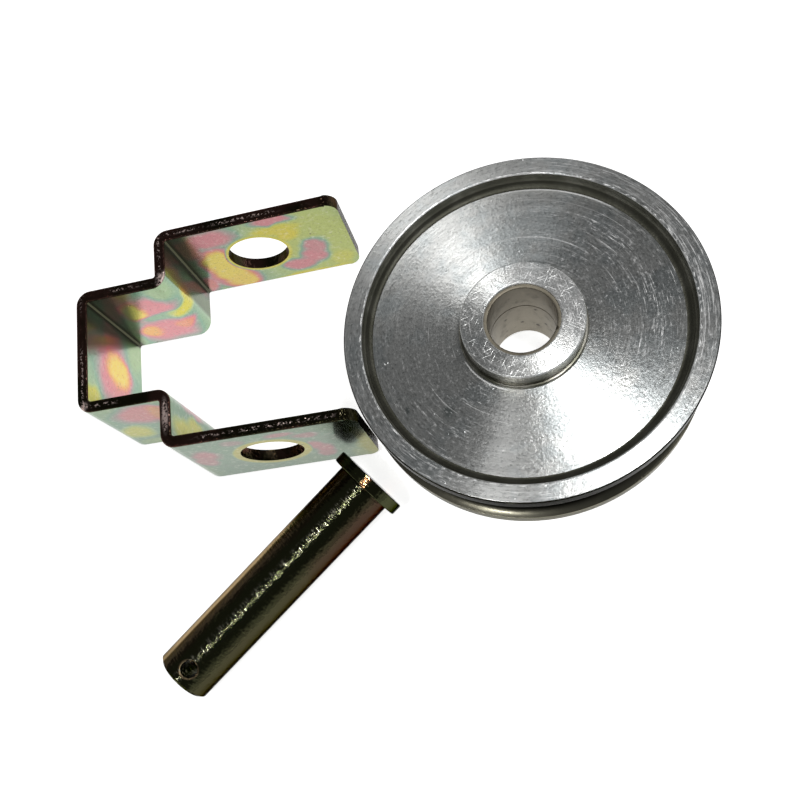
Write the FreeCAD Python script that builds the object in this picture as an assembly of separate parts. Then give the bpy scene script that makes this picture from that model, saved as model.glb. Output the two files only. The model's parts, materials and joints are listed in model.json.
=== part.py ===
import FreeCAD, Part

import math
import os
from FreeCAD import Vector

# Gate wheel kit: a grooved wheel with two pressed-in bushes, its bent bracket and its headed pin.
#
# The three things lie beside each other on one flat surface: the wheel on the end of its hub, the bracket
# on the edge of its strip and the pin on its side. Millimetres. The origin is the middle of the wheel's
# bore, +Z is up along the bore, and +X runs along the bracket's ears, from its base towards the wheel.

# Wheel
rim_radius = 50.0
rim_width = 26.0
hub_length = 31.8
hub_radius = 16.7
web_thickness = 18.4
recess_mouth_radius = 44.8
recess_floor_radius = 44.4
recess_fillet = 2.2
collar_radius = 17.6            # low turned ring round the foot of the hub
collar_height = 1.0
groove_radius = 8.0             # half-round groove for a round rail
groove_centre_radius = 50.6
edge_chamfer = 0.5
corner_fillet = 0.5

# Bushes, pressed in from both ends of the hub
bush_bore_radius = 9.25
bush_wall = 1.0
bush_recess = 0.7               # how far each bush's end stands back from the hub's face
bush_chamfer = 0.3
bush_joint_height = 3.5         # where the two bushes meet, above the middle of the hub

# Bracket: one strip bent into a base, two walls, two steps and two ears
sheet = 3.5
strip_width = 37.0
half_channel = 16.0             # centre line to the inner face of a wall
half_gap = 30.8                 # centre line to the inner face of an ear
wall_length = 26.0              # base's inner face to the step's face on the wheel's side
ear_reach = 79.2                # base's inner face to the end of the ears
ear_hole_radius = 9.5
ear_hole_reach = 50.0           # base's inner face to the holes' axis
crease_radius = 0.7             # inside of each bend
bend_radius = 4.4               # outside of each bend
ear_corner_radius = 4.5

# Pin
pin_radius = 8.75
pin_length = 78.2               # under the head
head_radius = 11.6
head_thickness = 3.5
head_chamfer = 0.4
tail_chamfer = 0.8
cross_hole_radius = 2.5
cross_hole_reach = 72.8         # from under the head
cross_hole_chamfer = 0.5

# Where the bracket and the pin lie, seen from the wheel
surface_height = -hub_length / 2
bracket_base_x = -126.3
bracket_centre_y = 12.4
pin_head_x = -51.3
pin_head_y = -34.9
pin_heading = -141.0            # degrees about +Z, from the head to the tail
pin_roll = -15.5                # degrees about the pin's own axis

overshoot = 1.0                 # how far a cutting tool runs past the surface it cuts
tolerance = 0.01                # how near a point has to be to count as on an edge

ORIGIN = Vector(0, 0, 0)
X = Vector(1, 0, 0)
Y = Vector(0, 1, 0)
Z = Vector(0, 0, 1)


def turned(corners):
    """A solid turned about Z from the (radius, height) corners of its closed outline."""
    points = [Vector(radius, 0, height) for radius, height in corners]
    outline = Part.makePolygon(points + points[:1])
    return Part.Face(outline).revolve(ORIGIN, Z, 360)


def both_sides(corners):
    """The outline's upper corners, followed by the same corners below the middle."""
    return corners + [(radius, -height) for radius, height in reversed(corners)]


def edges_where(shape, test):
    """The shape's edges for whose two middle points the test holds."""
    found = []
    for edge in shape.Edges:
        first, last = edge.FirstParameter, edge.LastParameter
        points = [edge.valueAt(first + share * (last - first)) for share in (0.3, 0.6)]
        if all(test(point) for point in points):
            found.append(edge)
    return found


def on_ring(radius, height):
    """A test for points at a radius from the bore's axis, at a height above or below the middle."""
    def test(point):
        off_radius = abs(math.hypot(point.x, point.y) - radius)
        off_height = abs(abs(point.z) - height)
        return max(off_radius, off_height) < tolerance
    return test


def make_wheel():
    half_hub = hub_length / 2
    half_rim = rim_width / 2
    half_web = web_thickness / 2
    seat_radius = bush_bore_radius + bush_wall
    blank = turned(both_sides([
        (seat_radius, half_hub - edge_chamfer),
        (seat_radius + edge_chamfer, half_hub),
        (hub_radius - edge_chamfer, half_hub),
        (hub_radius, half_hub - edge_chamfer),
        (hub_radius, half_web + collar_height),
        (collar_radius, half_web + collar_height),
        (collar_radius, half_web),
        (recess_floor_radius, half_web),
        (recess_mouth_radius, half_rim - edge_chamfer),
        (recess_mouth_radius + edge_chamfer, half_rim),
        (rim_radius - edge_chamfer, half_rim),
        (rim_radius, half_rim - edge_chamfer),
    ]))
    grooved = blank.cut(Part.makeTorus(groove_centre_radius, groove_radius))
    half_mouth = math.sqrt(groove_radius ** 2 - (groove_centre_radius - rim_radius) ** 2)
    small = edges_where(grooved, on_ring(rim_radius, half_mouth))
    small += edges_where(grooved, on_ring(collar_radius, half_web + collar_height))
    rounded = grooved.makeFillet(corner_fillet, small)
    return rounded.makeFillet(recess_fillet, edges_where(rounded, on_ring(recess_floor_radius, half_web)))


def make_bush(low, high):
    """A thin sleeve between two heights, chamfered inside at both ends."""
    return turned([
        (bush_bore_radius + bush_chamfer, low),
        (bush_bore_radius + bush_wall, low),
        (bush_bore_radius + bush_wall, high),
        (bush_bore_radius + bush_chamfer, high),
        (bush_bore_radius, high - bush_chamfer),
        (bush_bore_radius, low + bush_chamfer),
    ])


def make_bracket():
    step_back = wall_length - sheet
    inner = [(0, half_channel), (wall_length, half_channel), (wall_length, half_gap)]
    outer = [
        (step_back, half_gap + sheet),
        (step_back, half_channel + sheet),
        (-sheet, half_channel + sheet),
    ]
    end = [(ear_reach, half_gap), (ear_reach, half_gap + sheet)]
    half = inner + end + outer
    corners = half + [(reach, -side) for reach, side in reversed(half)]
    base_corner = Vector(bracket_base_x, bracket_centre_y, surface_height)
    points = [base_corner + Vector(reach, side, 0) for reach, side in corners]
    strip = Part.Face(Part.makePolygon(points + points[:1])).extrude(Z * strip_width)

    def bends(places):
        """The upright edges at the given (reach, side) places and at their mirror images."""
        def test(point):
            reach = point.x - bracket_base_x
            side = abs(point.y - bracket_centre_y)
            return any(math.hypot(reach - r, side - s) < tolerance for r, s in places)
        return edges_where(strip, test)

    creases = [inner[0], outer[1], inner[2]]
    outsides = [outer[2], inner[1], outer[0]]
    strip = strip.makeFillet(crease_radius, bends(creases))
    strip = strip.makeFillet(bend_radius, bends(outsides))

    def at_ear_corner(point):
        off_end = abs(point.x - bracket_base_x - ear_reach)
        off_edge = abs(abs(point.z - surface_height - strip_width / 2) - strip_width / 2)
        return max(off_end, off_edge) < tolerance

    strip = strip.makeFillet(ear_corner_radius, edges_where(strip, at_ear_corner))

    drill_length = 2 * (half_gap + sheet + overshoot)
    drill_start = Vector(
        bracket_base_x + ear_hole_reach,
        bracket_centre_y - drill_length / 2,
        surface_height + strip_width / 2,
    )
    return strip.cut(Part.makeCylinder(ear_hole_radius, drill_length, drill_start, Y))


def make_pin():
    """The pin along +X with its head's underside at the origin, then laid on the surface."""
    profile = [
        (-head_thickness, 0),
        (-head_thickness, head_radius - head_chamfer),
        (head_chamfer - head_thickness, head_radius),
        (-head_chamfer, head_radius),
        (0, head_radius - head_chamfer),
        (0, pin_radius),
        (pin_length - tail_chamfer, pin_radius),
        (pin_length, pin_radius - tail_chamfer),
        (pin_length, 0),
    ]
    points = [Vector(along, 0, out) for along, out in profile]
    pin = Part.Face(Part.makePolygon(points + points[:1])).revolve(ORIGIN, X, 360)
    drill_start = Vector(cross_hole_reach, 0, -pin_radius - overshoot)
    drill = Part.makeCylinder(cross_hole_radius, 2 * (pin_radius + overshoot), drill_start, Z)
    mouth_depth = cross_hole_chamfer + overshoot
    for side in (1, -1):
        bottom = Vector(cross_hole_reach, 0, side * (pin_radius - cross_hole_chamfer))
        mouth_radius = cross_hole_radius + mouth_depth
        mouth = Part.makeCone(cross_hole_radius, mouth_radius, mouth_depth, bottom, Z * side)
        drill = drill.fuse(mouth)
    pin = pin.cut(drill)
    tilt = math.degrees(math.atan2(head_radius - pin_radius, pin_length))
    pin.rotate(ORIGIN, X, pin_roll)
    pin.rotate(ORIGIN, Y, tilt)
    pin.rotate(ORIGIN, Z, pin_heading)
    axis_height = surface_height + head_radius * math.cos(math.radians(tilt))
    pin.translate(Vector(pin_head_x, pin_head_y, axis_height))
    return pin


bush_end = hub_length / 2 - bush_recess
parts = {
    "wheel_body": make_wheel(),
    "upper_bush": make_bush(bush_joint_height, bush_end),
    "lower_bush": make_bush(-bush_end, bush_joint_height),
    "bent_bracket": make_bracket(),
    "clevis_pin": make_pin(),
}

os.makedirs("parts", exist_ok=True)
for name, shape in parts.items():
    state = "valid" if shape.isValid() and len(shape.Solids) == 1 else "BROKEN"
    box = shape.BoundBox
    low = [round(v, 2) for v in (box.XMin, box.YMin, box.ZMin)]
    high = [round(v, 2) for v in (box.XMax, box.YMax, box.ZMax)]
    print(name, state, round(shape.Volume / 1000, 2), "cm3", low, high)
    shape.exportStep(f"parts/{name}.step")
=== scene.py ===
"""Gate wheel kit: the finished look of a grooved gate wheel with two pressed-in bushes, its bent
bracket and its headed pin, laid out beside each other on a pale table. Metres, +Z up, origin at the
middle of the wheel's bore, as in the CAD model. It is laid out as an add-on with one button per piece.
"""

import json
import math

import bmesh
import bpy
from bpy.props import FloatProperty, FloatVectorProperty, IntProperty, PointerProperty
from mathutils import Matrix, Vector


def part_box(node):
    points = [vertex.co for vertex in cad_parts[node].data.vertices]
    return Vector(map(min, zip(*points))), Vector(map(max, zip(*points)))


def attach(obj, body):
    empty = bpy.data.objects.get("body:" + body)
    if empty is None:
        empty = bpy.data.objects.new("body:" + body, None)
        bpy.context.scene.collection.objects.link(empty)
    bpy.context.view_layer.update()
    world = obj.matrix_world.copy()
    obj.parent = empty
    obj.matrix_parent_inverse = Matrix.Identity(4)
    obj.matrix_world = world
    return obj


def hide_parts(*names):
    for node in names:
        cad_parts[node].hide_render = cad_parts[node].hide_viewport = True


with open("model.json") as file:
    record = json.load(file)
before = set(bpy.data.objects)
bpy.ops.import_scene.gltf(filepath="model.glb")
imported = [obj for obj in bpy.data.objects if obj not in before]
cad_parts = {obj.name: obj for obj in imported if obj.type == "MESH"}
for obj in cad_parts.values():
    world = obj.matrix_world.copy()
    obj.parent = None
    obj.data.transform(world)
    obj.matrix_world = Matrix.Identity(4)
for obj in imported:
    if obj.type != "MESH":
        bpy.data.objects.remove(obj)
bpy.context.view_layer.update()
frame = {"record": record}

bl_info = {
    "name": "Gate wheel kit",
    "version": (1, 0, 0),
    "blender": (4, 5, 0),
    "location": "View3D > Sidebar > Gate wheel",
    "description": "Builds the finished gate wheel, bushes, bracket and pin around their CAD model",
    "category": "Add Mesh",
}

MM = 0.001
Z = Vector((0, 0, 1))

# Places and sizes that the CAD model fixes
wheel_low, wheel_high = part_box("wheel_body")
bush_outside_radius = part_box("upper_bush")[1].x
bracket_low, bracket_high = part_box("bent_bracket")
mounts = {mount["name"]: mount for mount in frame["record"]["mounts"]}
shank = mounts["pin_shank"]
shank_axis = Vector(shank["axis"]).normalized()
shank_middle = Vector(shank["pos_m"])
shank_radius = shank["dims"]["r_mm"] * MM
shank_length = shank["dims"]["length_mm"] * MM
split_hole = mounts["split_pin_hole"]
split_hole_axis = Vector(split_hole["axis"]).normalized()
split_hole_middle = Vector(split_hole["pos_m"])
split_hole_radius = split_hole["dims"]["r_mm"] * MM
ear_hole = mounts["bracket_pin_holes"]
ear_hole_radius = ear_hole["dims"]["r_mm"] * MM
bush_bore_radius = mounts["wheel_bore"]["dims"]["r_mm"] * MM


def length(label, description, default):
    """A property for a length that a user may change, with its default in metres."""
    return FloatProperty(
        name=label, description=description, default=default, min=0.0, unit="LENGTH", precision=5)


def facets(description, default):
    """A property for the number of facets round a turned piece."""
    return IntProperty(name="Segments", description=description, default=default, min=24, max=512)


def tint(label, description, default):
    """A property for a colour."""
    return FloatVectorProperty(
        name=label, description=description, default=default, size=4, min=0.0, max=1.0, subtype="COLOR")


def place(label, description, default):
    return FloatVectorProperty(
        name=label, description=description, default=default, unit="LENGTH", subtype="TRANSLATION",
        precision=5)


def power(label, description, default):
    """A property for a lamp's power, with its default in watts."""
    return FloatProperty(name=label, description=description, default=default, min=0.0, unit="POWER")


class WheelSettings(bpy.types.PropertyGroup):
    """Sizes and colours of the grooved wheel."""

    rim_radius: length("Rim radius", "Outside radius of the wheel over its rim", 50.0 * MM)
    rim_width: length("Rim width", "Width of the rim along the bore", 26.0 * MM)
    hub_radius: length("Hub radius", "Outside radius of the hub", 16.7 * MM)
    seat_radius: length("Bush seat radius", "Radius of the bore that holds the bushes", bush_outside_radius)
    web_thickness: length("Web thickness", "Thickness of the web between hub and rim", 18.4 * MM)
    recess_mouth_radius: length("Recess mouth radius", "Radius of the recess at the rim's face", 44.8 * MM)
    recess_floor_radius: length("Recess floor radius", "Radius of the recess at the web", 44.4 * MM)
    recess_fillet: length("Recess fillet", "Radius between the recess wall and the web", 2.2 * MM)
    collar_radius: length("Collar radius", "Radius of the low ring at the foot of the hub", 17.6 * MM)
    collar_height: length("Collar height", "Height of that ring above the web", 1.0 * MM)
    groove_radius: length("Groove radius", "Radius of the half-round rail groove", 8.0 * MM)
    groove_centre_radius: length("Groove centre", "From the bore's axis to the groove's centre", 50.6 * MM)
    edge_radius: length("Edge rounding", "How far the turned edges are broken", 0.5 * MM)
    segments: facets("Facets round the wheel", 288)
    face_colour: tint("Turned face", "Colour of the turned aluminium", (0.78, 0.785, 0.765, 1.0))
    worn_colour: tint("Dull patches", "Colour of the duller, stained metal", (0.57, 0.60, 0.60, 1.0))
    # Also the colour of the painted highlights on the turned faces.
    bright_colour: tint("Fresh metal", "Colour of scratches and rubbed metal", (0.93, 0.93, 0.92, 1.0))
    pit_colour: tint("Pits", "Colour of pits and dirt", (0.20, 0.21, 0.20, 1.0))
    stain_colour: tint("Stains", "Colour of the dull stains on the web", (0.26, 0.30, 0.29, 1.0))
    cast_colour: tint("Cast wall", "Colour of the unmachined recess wall", (0.17, 0.168, 0.135, 1.0))
    cast_light_colour: tint("Cast wall, light", "Colour of its lighter patches", (0.30, 0.295, 0.25, 1.0))
    # Painted shade at the recess wall's top edge and foot.
    recess_painted_shade: tint("Recess edges", "Colour of the dirt at the wall's edges", (0.035, 0.035, 0.026, 1.0))
    hub_colour: tint("Hub side", "Colour of the hub's side", (0.34, 0.33, 0.29, 1.0))
    groove_colour: tint("Groove", "Colour of the rail groove", (0.13, 0.13, 0.10, 1.0))


class BushSettings(bpy.types.PropertyGroup):
    """Sizes and colours of the two bushes."""

    wall: length("Wall", "Wall thickness of a bush", bush_outside_radius - bush_bore_radius)
    mouth_chamfer: length("Mouth chamfer", "Chamfer at each end of a bush's bore", 0.3 * MM)
    segments: facets("Facets round a bush", 128)
    bore_colour: tint("Bore", "Colour of the bushes' bearing face", (0.25, 0.225, 0.175, 1.0))
    stain_colour: tint("Stain", "Colour of the dark stains in the bore", (0.07, 0.06, 0.045, 1.0))


class BracketSettings(bpy.types.PropertyGroup):
    """Sizes and colours of the bent bracket."""

    sheet: length("Sheet", "Thickness of the strip", 3.5 * MM)
    half_channel: length("Half channel", "Centre line to the inner face of a wall", 16.0 * MM)
    wall_length: length("Wall length", "Base's inner face to the step", 26.0 * MM)
    crease_radius: length("Inside bend radius", "Inside radius of each bend", 0.7 * MM)
    bend_radius: length("Outside bend radius", "Outside radius of each bend", 4.4 * MM)
    ear_corner_radius: length("Ear corner radius", "Rounding of the ears' corners", 4.5 * MM)
    crown: length("Edge crown", "Rounding along the strip's sheared edges", 0.65 * MM)
    edge_radius: length("Hole edge rounding", "Rounding at the holes and the ears' ends", 0.3 * MM)
    film_shade: tint("Film shade", "How much the film darkens the bare zinc", (0.88, 0.86, 0.88, 1.0))
    # Painted shade: darkening of the far ear and the near side.
    dark_reflection_shade: tint("Thicker film", "The same on the ears and the near side", (0.47, 0.48, 0.42, 1.0))
    # Painted shade in the bends' inside corners.
    corner_shade_colour: tint("Inside corners", "Colour of the film inside the bends", (0.050, 0.052, 0.028, 1.0))
    haze_colour: tint("Haze", "Colour of the pale specks in the film", (0.62, 0.60, 0.52, 1.0))
    pit_colour: tint("Pits", "Colour of the pits and dark specks", (0.10, 0.08, 0.05, 1.0))
    edge_colour: tint("Sheared edge", "Colour of the strip's sheared edges", (0.030, 0.027, 0.014, 1.0))
    warm_edge_colour: tint("Sheared edge, red", "Colour of their redder parts", (0.095, 0.048, 0.038, 1.0))
    # Painted highlight: the colour of the glints on the sheared edges.
    glint_paint_colour: tint("Torn metal", "Colour of the bright torn metal along them", (0.95, 0.76, 0.70, 1.0))


class PinSettings(bpy.types.PropertyGroup):
    """Sizes and colours of the headed pin."""

    head_radius: length("Head radius", "Radius of the pin's head", 11.6 * MM)
    head_thickness: length("Head thickness", "Thickness of the pin's head", 3.5 * MM)
    head_rounding: length("Head rounding", "Rounding of the head's edges", 0.4 * MM)
    tail_chamfer: length("Tail chamfer", "Chamfer at the pin's far end", 0.8 * MM)
    hole_chamfer: length("Cross hole chamfer", "Chamfer at both mouths of the split-pin hole", 0.5 * MM)
    film_colour: tint("Film", "Colour of the pin's thick film", (0.050, 0.054, 0.026, 1.0))
    dull_colour: tint("Dull film", "Colour of the film's duller clouds", (0.060, 0.052, 0.028, 1.0))
    brown_colour: tint("Brown film", "Colour of the browner film along the sides", (0.052, 0.031, 0.021, 1.0))
    tan_colour: tint("Thin film", "Colour of the thin film on one side", (0.46, 0.34, 0.20, 1.0))
    # Painted highlight: lighter colour of the ridges along the pin's top.
    worn_colour: tint("Worn ridges", "Colour of the worn ridges on top", (0.34, 0.33, 0.25, 1.0))
    # Painted glint on the head's edge.
    glint_colour: tint("Head's streak", "Colour of the coppery streak on the head", (0.75, 0.38, 0.18, 1.0))
    segments: facets("Facets round the pin", 160)


class StageSettings(bpy.types.PropertyGroup):
    """The table, the lights and the camera."""

    floor_colour: tint("Table", "Colour of the table", (0.93, 0.93, 0.93, 1.0))
    floor_radius: length("Table radius", "How far the table reaches", 12.0)
    floor_glow: FloatProperty(
        name="Table glow", description="How much the table lights the pieces from below", default=0.84, min=0.0)
    shade_reach: length("Shade reach", "How far off a piece takes the table's glow away", 20.0 * MM)
    key_place: place("Key lamp", "Where the large lamp hangs", (0.085, 0.02, 0.42))
    key_target: place("Key lamp's target", "What the large lamp points at", (0.0, 0.0, 0.0))
    key_size: length("Key lamp's size", "Diameter of the large lamp", 0.075)
    key_power: power("Key lamp's power", "Power of the large lamp", 0.58)
    side_place: place("Side lamp", "Where the small lamp hangs", (-0.105, -0.185, 0.42))
    side_target: place("Side lamp's target", "What the small lamp points at", (-0.06, -0.04, 0.0))
    side_size: length("Side lamp's size", "Diameter of the small lamp", 0.03)
    side_power: power("Side lamp's power", "Power of the small lamp", 0.22)
    high_sky: tint("Sky overhead", "Colour of the room above the pieces", (0.105, 0.107, 0.108, 1.0))
    low_sky: tint("Sky around", "Colour of the room beside the pieces", (0.8, 0.8, 0.8, 1.0))
    camera_place: place("Camera", "Where the camera stands", (-3.12 * MM, -96.48 * MM, 240.78 * MM))
    camera_target: place("Camera's target", "What it points at", (-64.9 * MM, -29.9 * MM, -15.9 * MM))
    camera_roll: FloatProperty(
        name="Camera roll", description="The camera's turn about its own line of sight",
        default=math.radians(49.39), unit="ROTATION", subtype="ANGLE")
    lens: FloatProperty(
        name="Lens", description="The camera's focal length", default=39.41, min=1.0, unit="CAMERA")
    shift_x: FloatProperty(
        name="Shift across", description="The lens's shift across the frame", default=0.0902, precision=4)
    shift_y: FloatProperty(
        name="Shift up", description="The lens's shift up the frame", default=0.1073, precision=4)


class Signal:
    """One output of a node. Arithmetic on it adds Math nodes beside it."""

    def __init__(self, nodes, output):
        self.nodes = nodes
        self.output = output

    def maths(self, operation, first, second):
        return self.nodes.add("ShaderNodeMath", {"operation": operation}, {0: first, 1: second})

    def __add__(self, other):
        return self.maths("ADD", self, other)

    def __radd__(self, other):
        return self.maths("ADD", other, self)

    def __sub__(self, other):
        return self.maths("SUBTRACT", self, other)

    def __rsub__(self, other):
        return self.maths("SUBTRACT", other, self)

    def __mul__(self, other):
        return self.maths("MULTIPLY", self, other)

    def __rmul__(self, other):
        return self.maths("MULTIPLY", other, self)

    def __truediv__(self, other):
        return self.maths("DIVIDE", self, other)

    def __pow__(self, other):
        return self.maths("POWER", self, other)

    def __abs__(self):
        return self.maths("ABSOLUTE", self, 0.0)


class Nodes:
    """A node tree being built, for a material or for the world."""

    def __init__(self, owner):
        owner.use_nodes = True
        self.tree = owner.node_tree
        self.tree.nodes.clear()

    def add(self, kind, settings=None, inputs=None, output=0):
        """Adds one node, sets it up, then fills or links its sockets, and returns one of its outputs."""
        node = self.tree.nodes.new(kind)
        for name, value in (settings or {}).items():
            if name == "stops":
                self.set_stops(node.color_ramp, value)
            else:
                setattr(node, name, value)
        for name, value in (inputs or {}).items():
            if isinstance(value, Signal):
                self.tree.links.new(value.output, node.inputs[name])
            else:
                node.inputs[name].default_value = value
        return Signal(self, node.outputs[output]) if len(node.outputs) else None

    def set_stops(self, ramp, stops):
        """Gives a colour ramp its (position, colour) stops."""
        while len(ramp.elements) < len(stops):
            ramp.elements.new(1.0)
        for element, (position, colour) in zip(ramp.elements, stops):
            element.position = position
            element.color = colour

    def point(self):
        return self.add("ShaderNodeTexCoord", output="Object")

    def axes(self, point):
        """A vector's X, Y and Z."""
        node = self.add("ShaderNodeSeparateXYZ", inputs={0: point}).output.node
        return [Signal(self, output) for output in node.outputs]

    def vector(self, x, y, z):
        return self.add("ShaderNodeCombineXYZ", inputs={0: x, 1: y, 2: z})

    def noise(self, point, scale, detail=3.0, roughness=0.5):
        """Cloudy noise from 0 to 1."""
        return self.add("ShaderNodeTexNoise", {}, {
            "Vector": point, "Scale": scale, "Detail": detail, "Roughness": roughness})

    def cells(self, point, scale):
        """Distance to the nearest of many scattered points."""
        return self.add("ShaderNodeTexVoronoi", {"feature": "F1"}, {"Vector": point, "Scale": scale})

    def step(self, value, low, high):
        """0 below low and 1 above high, or the other way round, with a smooth ramp between."""
        if low > high:
            return 1 - self.step(value, high, low)
        return self.add("ShaderNodeMapRange", {"interpolation_type": "SMOOTHSTEP"},
                        {"Value": value, "From Min": low, "From Max": high})

    def band(self, value, low, high, soft):
        """1 between low and high, falling to 0 over soft on either side."""
        return self.step(value, low - soft, low) * self.step(value, high + soft, high)

    def least(self, first, second):
        """The smaller of two numbers."""
        return first.maths("MINIMUM", first, second)

    def mix(self, factor, first, second, blend="MIX"):
        """A mix of two colours."""
        settings = {"data_type": "RGBA", "blend_type": blend, "clamp_factor": True}
        return self.add("ShaderNodeMix", settings, {0: factor, 6: first, 7: second}, output=2)

    def ramp(self, value, stops):
        """A colour ramp through the (position, colour) stops."""
        return self.add("ShaderNodeValToRGB", {"stops": stops}, {0: value})

    def placed(self, point, location=(0, 0, 0), rotation=(0, 0, 0), scale=(1, 1, 1)):
        """The point moved, turned and stretched, for a pattern with a direction."""
        return self.add("ShaderNodeMapping", {"vector_type": "TEXTURE"},
                        {"Vector": point, "Location": location, "Rotation": rotation, "Scale": scale})

    def from_patch(self, point, middle, reach):
        """Distance from a patch's middle, 1 at its reach. Both are along X, Y and Z in millimetres."""
        inside = self.placed(point, location=[v * MM for v in middle], scale=[v * MM for v in reach])
        return self.add("ShaderNodeVectorMath", {"operation": "LENGTH"}, {0: inside}, output="Value")

    def bump(self, height, distance):
        """A normal bent by the height, which is 1 at distance above the surface."""
        return self.add("ShaderNodeBump", {}, {"Height": height, "Distance": distance, "Strength": 1.0})

    def metal(self, inputs):
        """A metal surface."""
        return self.add("ShaderNodeBsdfPrincipled", {}, {"Metallic": 1.0, **inputs})

    def blend(self, factor, first, second):
        """A mix of two surfaces."""
        return self.add("ShaderNodeMixShader", {}, {0: factor, 1: first, 2: second})

    def surface(self, shader):
        """Makes the shader the material's own."""
        self.add("ShaderNodeOutputMaterial", {}, {"Surface": shader})


def new_material(name):
    material = bpy.data.materials.new(name)
    return material, Nodes(material)


def dashes(nodes, point, stride, thickness, density):
    """Thin dashes scattered over the piece: stride is the cell's size along the stroke and across it."""
    lane = nodes.add("ShaderNodeVectorMath", {"operation": "MULTIPLY"}, {0: point, 1: stride})
    return nodes.step(nodes.cells(lane, 1.0), thickness, thickness * (1 - density))


def scratches(nodes, point, angle, long, wide, thickness):
    """Short straight scratches in one direction, long and wide being their cells."""
    turned = nodes.placed(point, rotation=(0, 0, angle))
    return dashes(nodes, turned, (1 / long, 1 / wide, 1 / long), thickness, 0.7)


# Dull stains on the wheel's upper face: middle and reach along X, Y and Z in millimetres
STAINS = (
    ((-23.0, -20.4, 9.2), (2.2, 2.6, 4.0)),
    ((-34.2, -18.2, 9.2), (0.8, 1.6, 4.0)),
)


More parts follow.
